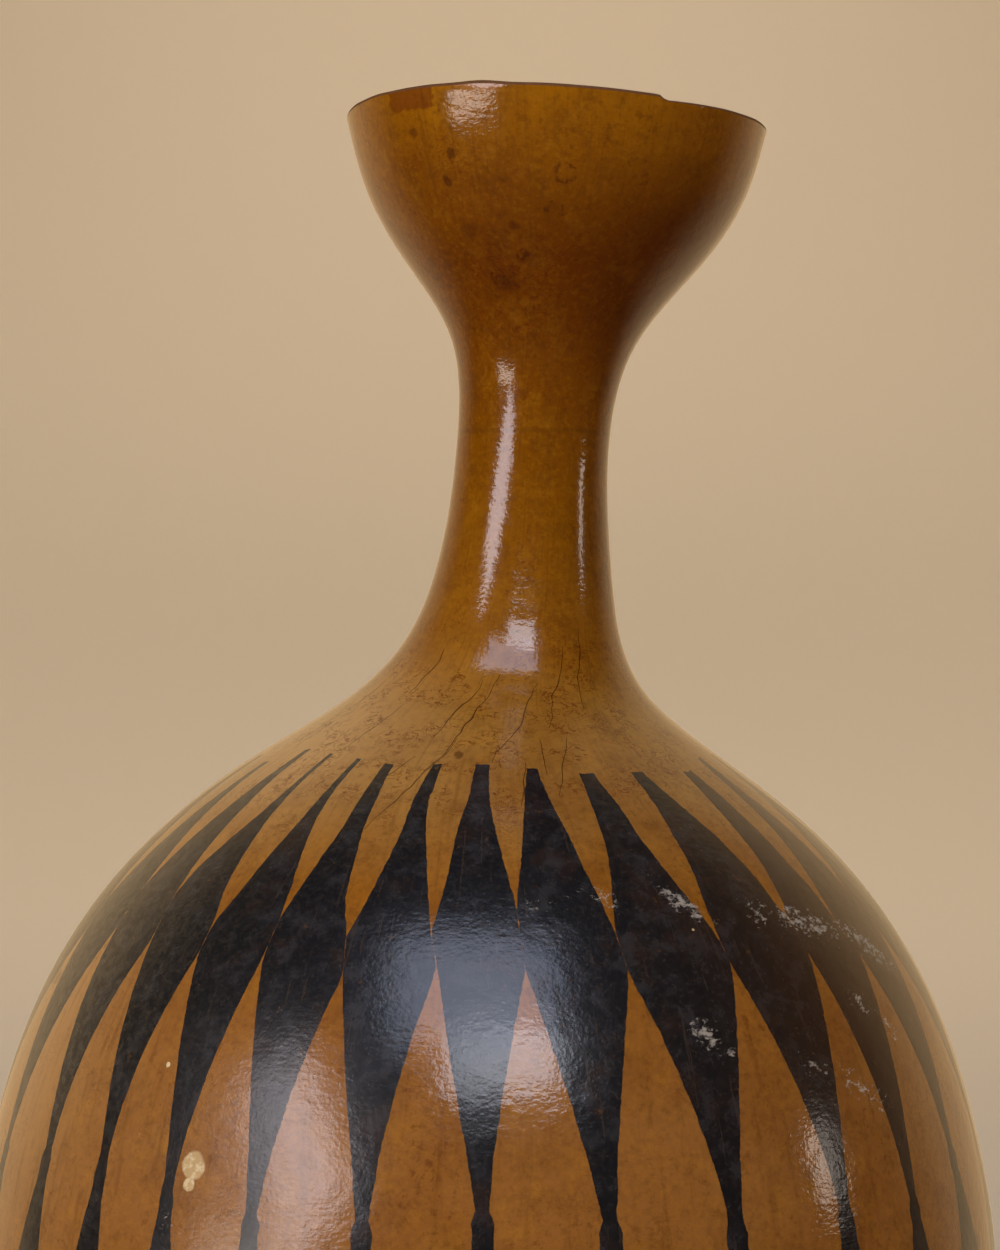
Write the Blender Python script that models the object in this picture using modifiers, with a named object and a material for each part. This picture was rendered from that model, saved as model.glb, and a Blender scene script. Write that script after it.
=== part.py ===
"""A dried bottle gourd with its top cut open: one hollow shell.

Metres, +Z up. The origin is at the bottom, under the body's axis, and -Y is the
side that the painted pattern was mostly seen from. The shell is a turned profile
whose upper end is then grown crooked, and whose wall is given its thickness inward.
"""

import math

import bmesh
import bpy
import numpy as np
from mathutils import Matrix, Vector

MM = 0.001

# Outer profile, from the edge of the flat spot up to the cut mouth: radius and height in mm.
PROFILE = (
    (30.0, 0.0),  # edge of the flat spot that the gourd stands on
    (62.5, 12.0),
    (91.0, 34.0),
    (111.0, 62.5),
    (120.7, 102.0),  # belly, the widest place
    (116.7, 142.0),
    (105.5, 176.0),
    (84.5, 207.0),
    (59.0, 228.6),  # shoulder
    (44.0, 238.8),
    (34.1, 246.9),
    (26.6, 257.4),
    (21.9, 272.0),
    (19.1, 291.0),
    (18.4, 306.0),  # neck, the narrowest place
    (22.3, 330.0),
    (35.3, 348.6),
    (45.0, 364.2),
    (50.4, 382.0),  # cut mouth
)

# How far the neck and the bowl have bent towards +X: height and offset in mm.
BEND = (
    (215.0, 0.0),
    (232.0, 0.4),
    (256.0, 6.0),
    (306.0, 11.4),
    (350.0, 15.9),
    (382.0, 17.0),
)

# The body is a little less deep than it is wide.
DEPTH_RATIO = 0.988

# The cut mouth isn't level: heights in mm of one and of two waves round it.
MOUTH_TILT = 1.6
MOUTH_WAVE = 0.8
TILT_FROM_HEIGHT = 290.0

# Wall, from the base up to the cut: height and thickness in mm.
WALL = (
    (0.0, 6.0),
    (104.0, 5.0),
    (207.0, 5.0),
    (262.0, 4.5),
    (308.0, 4.2),
    (382.0, 3.6),
)

# How finely the shell is cut into facets, and how much closer the rings lie where the wall turns.
SEGMENTS = 60
RINGS = 38
CROWDING = 1.5
CURVE_SAMPLES = 2000
WELD_MM = 0.01

RIND_COLOUR = (0.33, 0.14, 0.022, 1.0)
RIND_ROUGHNESS = 0.32


def remove_all_objects():
    for obj in list(bpy.data.objects):
        bpy.data.objects.remove(obj)


def natural_spline(knots, values, where):
    """The values at the given places on a natural cubic curve through the knots."""
    knots = np.asarray(knots, float)
    values = np.asarray(values, float)
    gaps = np.diff(knots)
    slopes = np.diff(values) / gaps
    count = len(knots)
    system = np.eye(count)
    right = np.zeros(count)
    for i in range(1, count - 1):
        system[i, i - 1 : i + 2] = gaps[i - 1], 2 * (gaps[i - 1] + gaps[i]), gaps[i]
        right[i] = 6 * (slopes[i] - slopes[i - 1])
    bends = np.linalg.solve(system, right)
    span = np.clip(np.searchsorted(knots, where) - 1, 0, count - 2)
    gap = gaps[span]
    after = where - knots[span]
    before = knots[span + 1] - where
    cubic = (bends[span] * before**3 + bends[span + 1] * after**3) / (6 * gap)
    start = (values[span] / gap - bends[span] * gap / 6) * before
    end = (values[span + 1] / gap - bends[span + 1] * gap / 6) * after
    return cubic + start + end


def profile_rings():
    """The radius and height of each ring, in mm, closer together where the wall turns sharply."""
    points = np.array(PROFILE)
    along = np.concatenate([[0.0], np.cumsum(np.hypot(*np.diff(points, axis=0).T))])
    fine = np.linspace(0.0, along[-1], CURVE_SAMPLES)
    radius = natural_spline(along, points[:, 0], fine)
    height = natural_spline(along, points[:, 1], fine)
    step = np.hypot(np.diff(radius), np.diff(height))
    heading = np.unwrap(np.arctan2(np.diff(height), np.diff(radius)))
    turning = np.abs(np.gradient(heading) / step)
    weight = step * np.sqrt(1.0 + CROWDING * turning * np.mean(radius))
    travelled = np.concatenate([[0.0], np.cumsum(weight)])
    stops = np.linspace(0.0, travelled[-1], RINGS)
    return np.interp(stops, travelled, radius), np.interp(stops, travelled, height)


def bend_at(height):
    knots, offsets = np.array(BEND).T
    inside = natural_spline(knots, offsets, np.clip(height, knots[0], knots[-1]))
    return np.where(height < knots[0], 0.0, inside)


def wall_at(height):
    knots, thicknesses = np.array(WALL).T
    return np.interp(height, knots, thicknesses)


def grow_crooked(co):
    """Where a point of the turned shape, in mm, comes to lie on the grown gourd."""
    longitude = math.atan2(co.x, -co.y)
    top = PROFILE[-1][1]
    rise = min(max((co.z - TILT_FROM_HEIGHT) / (top - TILT_FROM_HEIGHT), 0.0), 1.0)
    share = rise * rise * (3.0 - 2.0 * rise)
    drop = MOUTH_TILT * math.sin(longitude) + MOUTH_WAVE * math.sin(2.0 * longitude)
    return Vector(
        (
            co.x + float(bend_at(co.z)),
            co.y * DEPTH_RATIO,
            co.z - share * drop,
        )
    )


def spun_shell():
    """The outer surface, open at the mouth, as a profile spun round the Z axis, in mm."""
    radii, heights = profile_rings()
    bm = bmesh.new()
    previous = bm.verts.new((0.0, 0.0, 0.0))
    for radius, height in zip(radii, heights):
        current = bm.verts.new((radius, 0.0, height))
        bm.edges.new((previous, current))
        previous = current
    bmesh.ops.spin(
        bm,
        geom=bm.verts[:] + bm.edges[:],
        axis=(0.0, 0.0, 1.0),
        cent=(0.0, 0.0, 0.0),
        angle=math.tau,
        steps=SEGMENTS,
        use_merge=True,
    )
    bmesh.ops.remove_doubles(bm, verts=bm.verts, dist=WELD_MM)
    bmesh.ops.reverse_faces(bm, faces=bm.faces)
    return bm


def rind_material():
    material = bpy.data.materials.new("dried_gourd_rind")
    material.use_nodes = True
    shader = material.node_tree.nodes["Principled BSDF"]
    shader.inputs["Base Color"].default_value = RIND_COLOUR
    shader.inputs["Roughness"].default_value = RIND_ROUGHNESS
    shader.inputs["Metallic"].default_value = 0.0
    return material


def make_gourd_shell(collection):
    bm = spun_shell()
    thickest = max(thickness for _, thickness in WALL)
    shares = [float(wall_at(vert.co.z)) / thickest for vert in bm.verts]
    for vert in bm.verts:
        vert.co = grow_crooked(vert.co)
    bmesh.ops.transform(bm, matrix=Matrix.Scale(MM, 4), verts=bm.verts)
    mesh = bpy.data.meshes.new("gourd_shell")
    bm.to_mesh(mesh)
    bm.free()
    mesh.shade_smooth()
    mesh.materials.append(rind_material())

    shell = bpy.data.objects.new("gourd_shell", mesh)
    collection.objects.link(shell)
    wall = shell.vertex_groups.new(name="wall")
    for index, share in enumerate(shares):
        wall.add([index], share, "REPLACE")
    solidify = shell.modifiers.new("wall", "SOLIDIFY")
    solidify.thickness = thickest * MM
    solidify.offset = -1.0
    solidify.use_even_offset = True
    solidify.vertex_group = wall.name
    return shell


def main():
    remove_all_objects()
    collection = bpy.data.collections.new("dried_bottle_gourd")
    bpy.context.scene.collection.children.link(collection)
    make_gourd_shell(collection)


main()
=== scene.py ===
# %% [markdown]
# # A dried bottle gourd with a painted band of lozenges
# The real object is a single hollow fruit: its rind grew in one piece, dried hard, was scraped, oiled and
# painted, and was cut open at the top. This file takes the plain solid of that rind as a fixed frame and
# gives it the looks: a finer mesh of the same shape, its painted pattern, its stains and its gloss.

# %% Tools and the frame
import math

import bmesh
import bpy
import numpy as np
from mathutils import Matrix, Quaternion, Vector, noise


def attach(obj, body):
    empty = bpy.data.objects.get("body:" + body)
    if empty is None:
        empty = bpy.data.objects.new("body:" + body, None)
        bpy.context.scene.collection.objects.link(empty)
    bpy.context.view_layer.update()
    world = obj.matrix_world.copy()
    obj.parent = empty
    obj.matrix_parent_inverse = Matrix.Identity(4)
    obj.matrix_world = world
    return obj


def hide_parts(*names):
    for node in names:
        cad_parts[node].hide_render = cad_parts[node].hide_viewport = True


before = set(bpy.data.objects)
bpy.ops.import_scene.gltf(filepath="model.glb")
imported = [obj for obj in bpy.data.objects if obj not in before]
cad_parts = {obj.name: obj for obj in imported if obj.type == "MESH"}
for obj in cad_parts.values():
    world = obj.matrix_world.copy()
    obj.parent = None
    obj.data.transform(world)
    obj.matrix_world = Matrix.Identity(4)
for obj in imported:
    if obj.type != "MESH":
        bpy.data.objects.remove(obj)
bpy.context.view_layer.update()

# %% [markdown]
# ## The camera
# The photograph looks almost level at the neck, from about 0.6 m in front of the gourd, so the bowl shows
# its underside and the body its upper half. A camera can be aimed by a target or by angles: angles are
# used here, because the small downward pitch was worked out from how the rim and the body foreshorten.

# %% Camera
CAMERA_PLACE = (0.00348, -0.6072, 0.267)
CAMERA_PITCH_DOWN = 0.453
FOCAL_LENGTH = 72.86

camera_data = bpy.data.cameras.new("camera")
camera_data.lens = FOCAL_LENGTH
camera_data.sensor_width = 36.0
camera = bpy.data.objects.new("camera", camera_data)
camera.location = CAMERA_PLACE
camera.rotation_euler = (math.radians(90.0 - CAMERA_PITCH_DOWN), 0.0, 0.0)
bpy.context.scene.collection.objects.link(camera)
bpy.context.scene.camera = camera
print("camera at", CAMERA_PLACE)

# %% [markdown]
# ## Colours and shader nodes
# Colours are picked as the eye sees them, in sRGB hex, but a renderer adds up light, which is linear.
# One function turns the first into the second. Another adds a shader node with its settings and its
# links in one line, so that a long material still reads from top to bottom.


# %% Helpers for colours and nodes
def linear(hex_colour):
    """An sRGB hex colour as linear red, green, blue and alpha."""
    parts = [int(hex_colour[i : i + 2], 16) / 255.0 for i in (1, 3, 5)]
    return (*[c / 12.92 if c <= 0.04045 else ((c + 0.055) / 1.055) ** 2.4 for c in parts], 1.0)


def add_node(tree, kind, inputs=(), output=0, stops=None, **settings):
    """Adds a node, gives it settings, links or fills its inputs, and returns one of its outputs.

    The inputs are a list, in the node's order, or a dictionary by number or name."""
    node = tree.nodes.new("ShaderNode" + kind)
    for name, value in settings.items():
        setattr(node, name, value)
    for key, value in (inputs if isinstance(inputs, dict) else dict(enumerate(inputs))).items():
        if isinstance(value, bpy.types.NodeSocket):
            tree.links.new(value, node.inputs[key])
        else:
            node.inputs[key].default_value = value
    if stops:
        ramp = node.color_ramp
        while len(ramp.elements) < len(stops):
            ramp.elements.new(1.0)
        for element, (place, colour) in zip(ramp.elements, stops):
            element.position = place
            element.color = linear(colour)
    return node.outputs[output]


# Settings for a MapRange node with soft ends, and for a Mix node of two colours. The latter's inputs 0, 6
# and 7 are the second colour's share, the first colour and the second colour.
SMOOTH = {"interpolation_type": "SMOOTHSTEP"}
COLOUR_MIX = {"output": 2, "data_type": "RGBA"}


def per_mm(millimetres):
    """The texture scale, on coordinates in metres, of a pattern that repeats about so often."""
    return 1000.0 / millimetres


def new_material(name):
    material = bpy.data.materials.new(name)
    material.use_nodes = True
    return material, material.node_tree, material.node_tree.nodes["Principled BSDF"]


print("amber is", [round(c, 3) for c in linear("#8a5a10")])

# %% [markdown]
# ## The grown shape
# A bottle gourd is nearly a turned shape that then grew a little crooked: the neck bent to one side, the
# mouth was cut by eye, and the body is slightly less deep than wide. The shape is made in that order.
# The outline is a smooth curve through a few measured radii, the same ones as in the solid underneath.

# %% Measured outline
MM = 0.001

# Radius and height in mm, from the edge of the flat spot below up to the cut.
PROFILE = (
    (30.0, 0.0),
    (62.5, 12.0),
    (91.0, 34.0),
    (111.0, 62.5),
    (120.7, 102.0),  # belly
    (116.7, 142.0),
    (105.5, 176.0),
    (84.5, 207.0),
    (59.0, 228.6),  # shoulder
    (44.0, 238.8),
    (34.1, 246.9),
    (26.6, 257.4),
    (21.9, 272.0),
    (19.1, 291.0),
    (18.4, 306.0),  # neck
    (22.3, 330.0),
    (35.3, 348.6),
    (45.0, 364.2),
    (50.4, 382.0),  # cut mouth
)
# Height and sideways offset in mm of the bent neck.
BEND = ((215.0, 0.0), (232.0, 0.4), (256.0, 6.0), (306.0, 11.4), (350.0, 15.9), (382.0, 17.0))
# Height and wall thickness in mm.
WALL = ((0.0, 6.0), (104.0, 5.0), (207.0, 5.0), (262.0, 4.5), (308.0, 4.2), (382.0, 3.6))
DEPTH_RATIO = 0.988
MOUTH_TILT = 1.6
MOUTH_WAVE = 0.8
TILT_FROM_HEIGHT = 290.0
CUT_HEIGHT = PROFILE[-1][1]


def natural_spline(knots, values, where):
    """The values at the given places on a natural cubic curve through the knots."""
    knots = np.asarray(knots, float)
    values = np.asarray(values, float)
    gaps = np.diff(knots)
    slopes = np.diff(values) / gaps
    count = len(knots)
    system = np.eye(count)
    right = np.zeros(count)
    for i in range(1, count - 1):
        system[i, i - 1 : i + 2] = gaps[i - 1], 2 * (gaps[i - 1] + gaps[i]), gaps[i]
        right[i] = 6 * (slopes[i] - slopes[i - 1])
    bends = np.linalg.solve(system, right)
    span = np.clip(np.searchsorted(knots, where) - 1, 0, count - 2)
    gap = gaps[span]
    after = where - knots[span]
    before = knots[span + 1] - where
    cubic = (bends[span] * before**3 + bends[span + 1] * after**3) / (6 * gap)
    start = (values[span] / gap - bends[span] * gap / 6) * before
    end = (values[span + 1] / gap - bends[span + 1] * gap / 6) * after
    return cubic + start + end


def outline(rings):
    """Radius and height of evenly spaced rings on the outer skin, in mm."""
    points = np.array(PROFILE)
    along = np.concatenate([[0.0], np.cumsum(np.hypot(*np.diff(points, axis=0).T))])
    stops = np.linspace(0.0, along[-1], rings)
    return natural_spline(along, points[:, 0], stops), natural_spline(along, points[:, 1], stops)


FINE_RINGS = 1200
FINE_RADIUS, FINE_HEIGHT = outline(FINE_RINGS)


def skin_radius(height):
    return np.interp(height, FINE_HEIGHT, FINE_RADIUS)


def grow_crooked(x, y, z):
    """Where points of the turned shape, in mm, lie on the grown gourd."""
    longitude = np.arctan2(x, -y)
    knots, offsets = np.array(BEND).T
    bend = natural_spline(knots, offsets, np.clip(z, knots[0], knots[-1]))
    rise = np.clip((z - TILT_FROM_HEIGHT) / (CUT_HEIGHT - TILT_FROM_HEIGHT), 0.0, 1.0)
    share = rise * rise * (3.0 - 2.0 * rise)
    drop = MOUTH_TILT * np.sin(longitude) + MOUTH_WAVE * np.sin(2.0 * longitude)
    return x + np.where(z < knots[0], 0.0, bend), y * DEPTH_RATIO, z - share * drop


print("widest", round(float(FINE_RADIUS.max()), 1), "narrowest neck", round(float(skin_radius(306.0)), 1))

# %% [markdown]
# ## The rind as a mesh
# The wall is one closed profile: up the skin, over the cut and down the inside. Spinning it makes the
# whole hollow in one step, and the wall can be as thick at each height as it should be, which a single
# Solidify thickness can't do. The two edges of the cut are then worn round with a small bevel.

# %% Spin the wall
SPIN_STEPS = 288
OUTER_RINGS = 196
INNER_RINGS = 66
BASE_RINGS = 8
CUT_EDGE_WEAR = 0.8
WELD_DISTANCE = 0.001  # in the profile's own unit
SAME_RADIUS = 0.01


def wall_profile():
    """The closed outline of the wall in mm, from the middle of the base round to the inner floor."""
    radius, height = outline(OUTER_RINGS)
    base = [(r, 0.0) for r in np.linspace(0.0, radius[0], BASE_RINGS, endpoint=False)]
    lean = np.stack([np.gradient(FINE_HEIGHT), -np.gradient(FINE_RADIUS)])
    lean /= np.hypot(*lean)
    thickness = np.interp(FINE_HEIGHT, *np.array(WALL).T)
    inner_radius = FINE_RADIUS - thickness * lean[0]
    inner_height = FINE_HEIGHT - thickness * lean[1]
    stops = np.linspace(CUT_HEIGHT, inner_height[0], INNER_RINGS)
    order = np.argsort(inner_height)
    inner = [(float(np.interp(h, inner_height[order], inner_radius[order])), float(h)) for h in stops]
    floor = [(r, inner_height[0]) for r in np.linspace(inner[-1][0], 0.0, BASE_RINGS)[1:]]
    return base + list(zip(radius, height)) + inner + floor


def spun(profile, steps):
    """A bmesh of a profile, given as radius and height, spun once round the Z axis."""
    bm = bmesh.new()
    verts = [bm.verts.new((radius, 0.0, height)) for radius, height in profile]
    for one, other in zip(verts, verts[1:]):
        bm.edges.new((one, other))
    bmesh.ops.spin(
        bm,
        geom=bm.verts[:] + bm.edges[:],
        axis=(0.0, 0.0, 1.0),
        cent=(0.0, 0.0, 0.0),
        angle=math.tau,
        steps=steps,
        use_merge=True,
    )
    bmesh.ops.remove_doubles(bm, verts=bm.verts, dist=WELD_DISTANCE)
    return bm


rind_bm = spun(wall_profile(), SPIN_STEPS)
bmesh.ops.recalc_face_normals(rind_bm, faces=rind_bm.faces)
cut_edges = [
    edge
    for edge in rind_bm.edges
    if all(vert.co.z > CUT_HEIGHT - WELD_DISTANCE for vert in edge.verts)
    and abs(edge.verts[0].co.xy.length - edge.verts[1].co.xy.length) < SAME_RADIUS
]
bmesh.ops.bevel(
    rind_bm, geom=cut_edges, offset=CUT_EDGE_WEAR, segments=3, profile=0.5, affect="EDGES", material=-1
)
rind_mesh = bpy.data.meshes.new("gourd_rind")
rind_bm.to_mesh(rind_mesh)
rind_bm.free()
print("rind", len(rind_mesh.vertices), "vertices,", len(rind_mesh.polygons), "faces")

# %% [markdown]
# ## Growing it crooked, and its small faults
# Every vertex is moved once: the neck bends, the mouth tilts, and the skin gets hollows of a few tenths
# of a millimetre, which break up the reflections as on a real fruit. They only go inward, so the mesh
# stays inside the solid. A chip and a small rise in the cut, and the scar of the blossom under the base,
# are local moves, and so is a shallow dent in the neck's foot. The undulation could be bump shading
# instead, but then the outline would stay perfect.

# %% Hollows and the dent
HOLLOWS = ((46.0, 0.22), (17.0, 0.10))  # spacing and depth of the skin's shallow hollows, mm
HOLLOWS_FADE = 20.0  # height in mm over which they fade in above the base
NEAR_AXIS = 5.0  # radius in mm within which the skin is hardly moved
# The chip: longitude of the step down, how many degrees it takes to rise again, and depth in mm.
CHIP = (27.2, 16.0, 1.2)
CHIP_SHARPNESS = 0.4  # degrees over which it steps down
RISE = (-21.0, 6.0, 0.35)  # longitude and half-width in degrees, height in mm
# A dent in the neck's foot: longitude and half-width in degrees, then height and depth in mm.
DENT_ANGLE = (-8.0, 30.0)
DENT_DEPTHS = (
    (232.0, 0.0),
    (248.0, 1.4),
    (252.0, 1.45),
    (256.0, 1.0),
    (262.0, 0.5),
    (267.0, 0.1),
    (272.0, 0.0),
)
SCAR_RADIUS = 5.0
SCAR_DEPTH = 0.9
CUT_REACH = 5.0  # how far below the cut its unevenness dies out, mm
CUT_WAVES = (9.0, 0.25)  # spacing and depth of the cut's unevenness, mm
BASE_TOP = 1.0  # vertices below this height are under the base, mm
FLOOR_HEIGHT = 4.0  # the inside starts above this height, mm
INSIDE_DEPTH = 2.2  # and deeper than this below the skin, mm

flat = np.empty(len(rind_mesh.vertices) * 3)
rind_mesh.vertices.foreach_get("co", flat)
turned = flat.reshape(-1, 3)
reach = np.hypot(turned[:, 0], turned[:, 1])
height = turned[:, 2].copy()
longitude = np.degrees(np.arctan2(turned[:, 0], -turned[:, 1]))
is_inside = (height > FLOOR_HEIGHT) & (reach < skin_radius(height) - INSIDE_DEPTH)

hollow = np.zeros(len(turned))
for spacing, depth in HOLLOWS:
    waves = [noise.noise(Vector(p) / spacing) for p in turned]
    hollow += depth * (0.5 + 0.5 * np.array(waves))
hollow *= np.clip(height / HOLLOWS_FADE, 0.0, 1.0)
dent_heights, dent_depths = np.array(DENT_DEPTHS).T
dent = natural_spline(dent_heights, dent_depths, np.clip(height, dent_heights[0], dent_heights[-1]))
hollow += dent * np.exp(-(((longitude - DENT_ANGLE[0]) / DENT_ANGLE[1]) ** 2))
shrink = 1.0 - hollow / np.maximum(reach, NEAR_AXIS)
print("deepest hollow", round(float(hollow.max()), 2), "mm; inside vertices", int(is_inside.sum()))

# %% Bend the neck and wear the cut
x, y, z = grow_crooked(turned[:, 0] * shrink, turned[:, 1] * shrink, height)
near_cut = np.clip((height - (CUT_HEIGHT - CUT_REACH)) / CUT_REACH, 0.0, 1.0) ** 2
past_chip = longitude - CHIP[0]
step_down = 1.0 / (1.0 + np.exp(-past_chip / CHIP_SHARPNESS))
z -= CHIP[2] * near_cut * np.exp(-np.maximum(past_chip, 0.0) / CHIP[1]) * step_down
z += RISE[2] * near_cut * np.exp(-(((longitude - RISE[0]) / RISE[1]) ** 2))
cut_waves = [noise.noise(Vector((a, b, 7.0)) / CUT_WAVES[0]) for a, b in turned[:, :2]]
z -= CUT_WAVES[1] * near_cut * (0.5 + 0.5 * np.array(cut_waves))
scar = SCAR_DEPTH * np.exp(-((reach / SCAR_RADIUS) ** 2))
z = np.where(height < BASE_TOP, z + scar, z)
grown = np.stack([x, y, z], axis=1) * MM
rind_mesh.vertices.foreach_set("co", grown.ravel())
rind_mesh.shade_smooth()
print("height", round(float(z.max()), 1), "mm")

# %% [markdown]
# ## Where the painted lozenges go
# The painter set thirty long lozenges side by side round the body by eye: each starts in a narrow waist,
# widens until it meets its neighbours, and narrows to a blunt tip on the shoulder. Under the waists the
# next row begins. Their tips, waists and meeting points are read off as longitude and height, and give
# the skin a warped pair of coordinates: u counts lozenges, and v counts those levels.
# A flat picture could be wrapped on instead, but then the paint would be only as sharp as its pixels.

# %% Places of the lozenges
LOZENGES = 30
MIDDLES = (-55.9, -45.0, -33.9, -23.3, -12.4, -1.15, 11.0, 24.9, 39.4, 51.7)
TIPS = (
    (-53.8, 234.2),
    (-42.8, 233.5),
    (-32.5, 232.8),
    (-23.0, 231.9),
    (-11.0, 232.1),
    (-1.0, 232.1),
    (10.5, 231.2),
    (22.0, 230.0),
    (35.5, 230.0),
    (52.7, 229.3),
)
WAISTS = (
    (-54.5, 150.4),
    (-43.8, 151.8),
    (-33.8, 149.2),
    (-23.5, 145.9),
    (-11.8, 145.7),
    (0.0, 148.5),
    (12.5, 145.7),
    (25.8, 144.3),
    (39.8, 142.9),
    (51.2, 141.3),
)
# Where the bare triangles above end, each before the lozenge of the same count.
UPPER_POINTS = (
    (-61.0, 204.3),
    (-50.8, 204.1),
    (-39.2, 199.2),
    (-28.5, 201.5),
    (-18.0, 198.7),
    (-6.8, 199.7),
    (4.5, 205.0),
    (17.5, 199.2),
    (32.2, 197.1),
    (46.5, 198.0),
    (56.8, 197.1),
)
# Where the bare triangles below begin.
LOWER_POINTS = (
    (-60.3, 195.7),
    (-49.5, 195.0),
    (-39.2, 193.1),
    (-28.8, 194.0),
    (-17.2, 191.7),
    (-5.5, 193.8),
    (5.2, 193.1),
    (18.0, 191.9),
    (32.5, 191.9),
    (46.5, 192.4),
    (58.0, 190.1),
)
UPPER_TIP_HEIGHT = 231.5
WAIST_HEIGHT = 146.5
SECOND_ROW_HEIGHTS = (98.0, 90.0, 40.0)  # where the row below meets, parts again and ends
# Heights in mm where the pattern's coordinates end, below the foot and above the tips.
LOWEST_HEIGHT = -20.0
HIGHEST_HEIGHT = 262.0
print("pitch of the lozenges", round(360.0 / LOZENGES, 1), "degrees")

# %% [markdown]
# ## Levels all round
# The photograph shows a third of the lozenges. The rest get an even pitch with the small errors of a hand,
# and each level of the pattern then becomes a closed ring of places, one for every half lozenge.

# %% Levels all round
HAND_WOBBLE = 0.8
draw = np.random.default_rng(7)


def all_round(points, usual_height, height_wobble):
    """The seen places, then places for the back of the gourd at an even pitch with a hand's wobble."""
    seen = np.array(points)
    left = LOZENGES - len(seen)
    first = seen[-1, 0]
    last = seen[0, 0] + 360.0
    step = (last - first) / (left + 1)
    angles = first + step * np.arange(1, left + 1) + draw.uniform(-HAND_WOBBLE, HAND_WOBBLE, left)
    heights = usual_height + draw.uniform(-height_wobble, height_wobble, left)
    return np.concatenate([seen[:, 0], angles]), np.concatenate([seen[:, 1], heights])


def between(values, whole_turn):
    """The places half-way before each value."""
    before = np.roll(values, 1)
    before[0] -= whole_turn
    return (before + values) / 2.0


def level(middles, middle_heights, gaps, gap_heights):
    """Longitudes and heights of one level at u = -0.5, 0, 0.5 and so on, once round."""
    angles = np.stack([gaps, middles], axis=1).ravel()
    heights = np.stack([gap_heights, middle_heights], axis=1).ravel()
    return np.append(angles, angles[0] + 360.0), np.append(heights, heights[0])


middles, _ = all_round([(angle, 0.0) for angle in MIDDLES], 0.0, 0.0)
tips, tip_heights = all_round(TIPS, UPPER_TIP_HEIGHT, 1.2)
waists, waist_heights = all_round(WAISTS, WAIST_HEIGHT, 2.0)
uppers, upper_heights = all_round(UPPER_POINTS, 200.0, 2.5)
lowers, lower_heights = all_round(LOWER_POINTS, 193.0, 1.2)
second = waists + draw.uniform(-HAND_WOBBLE, HAND_WOBBLE, LOZENGES)
second_tips = second + draw.uniform(-HAND_WOBBLE, HAND_WOBBLE, LOZENGES)
wide_top, wide_end, low_tip = (h + draw.uniform(-1.5, 1.5, LOZENGES) for h in SECOND_ROW_HEIGHTS)
lowest = np.full(LOZENGES, LOWEST_HEIGHT)
highest = np.full(LOZENGES, HIGHEST_HEIGHT)

# The levels by their v: the next row's end is -3, the waists 0, the tips 3.
LEVELS = {
    -4: level(second_tips, lowest, between(second_tips, 360.0), lowest),
    -3: level(second_tips, low_tip, between(second_tips, 360.0), between(low_tip, 0.0)),
    -2: level(second, between(wide_end, 0.0), between(second, 360.0), wide_end),
    -1: level(second, between(wide_top, 0.0), between(second, 360.0), wide_top),
    0: level(waists, waist_heights, between(waists, 360.0), between(waist_heights, 0.0)),
    1: level(middles, (lower_heights + np.roll(lower_heights, -1)) / 2.0, lowers, lower_heights),
    2: level(middles, (upper_heights + np.roll(upper_heights, -1)) / 2.0, uppers, upper_heights),
    3: level(tips, tip_heights, between(tips, 360.0), between(tip_heights, 0.0)),
    4: level(tips, highest, between(tips, 360.0), highest),
}
LEVEL_V = np.array(sorted(LEVELS), float)
LEVEL_ANGLE = np.stack([LEVELS[v][0] for v in sorted(LEVELS)])
LEVEL_HEIGHT = np.stack([LEVELS[v][1] for v in sorted(LEVELS)])
LEVEL_U = np.arange(2 * LOZENGES + 1) / 2.0 - 0.5
print("levels", LEVEL_V.astype(int).tolist())

# %% [markdown]
# ## From a place to the pattern
# Each vertex needs its own u and v. The levels lean and wobble, so the two are found together: a guess
# of u gives the levels' heights there, those give v, and v gives a better u. A few rounds settle it.

# %% Pattern at a place
ROUNDS = 6
MEETING_LEVEL = 5  # the level where the first guess of u is read off


def pattern_place(angle, up):
    """The pattern's u and v at longitudes in degrees and heights in mm, found in a few rounds."""
    first_guess = LEVEL_ANGLE[MEETING_LEVEL]
    start = first_guess[0]
    u = np.interp(start + np.mod(angle - start, 360.0), first_guess, LEVEL_U)
    for _ in range(ROUNDS):
        heights = np.array([np.interp(u, LEVEL_U, row) for row in LEVEL_HEIGHT])
        row = np.clip((heights < up).sum(axis=0) - 1, 0, len(LEVEL_V) - 2)
        low = np.take_along_axis(heights, row[None], 0)[0]
        high = np.take_along_axis(heights, row[None] + 1, 0)[0]
        share = np.clip((up - low) / (high - low), 0.0, 1.0)
        angles = LEVEL_ANGLE[row] * (1.0 - share)[:, None] + LEVEL_ANGLE[row + 1] * share[:, None]
        here = angles[:, 0] + np.mod(angle - angles[:, 0], 360.0)
        column = np.clip((angles < here[:, None]).sum(axis=1) - 1, 0, 2 * LOZENGES - 1)
        left = np.take_along_axis(angles, column[:, None], 1)[:, 0]
        right = np.take_along_axis(angles, column[:, None] + 1, 1)[:, 0]
        u = LEVEL_U[column] + 0.5 * (here - left) / (right - left)
    return u, LEVEL_V[row] + share


pattern_u, pattern_v = pattern_place(longitude, height)
print("u from", round(float(pattern_u.min()), 1), "to", round(float(pattern_u.max()), 1))

# %% [markdown]
# ## How wide each lozenge is
# No two of them are drawn alike: some sides are straight, some are hollow or belly out. For the ones that
# show in the photograph, the half-width of each side is given at five levels between where they meet and
# the tip, as a share of the pitch. The rest get the usual width with a little wobble.

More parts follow.
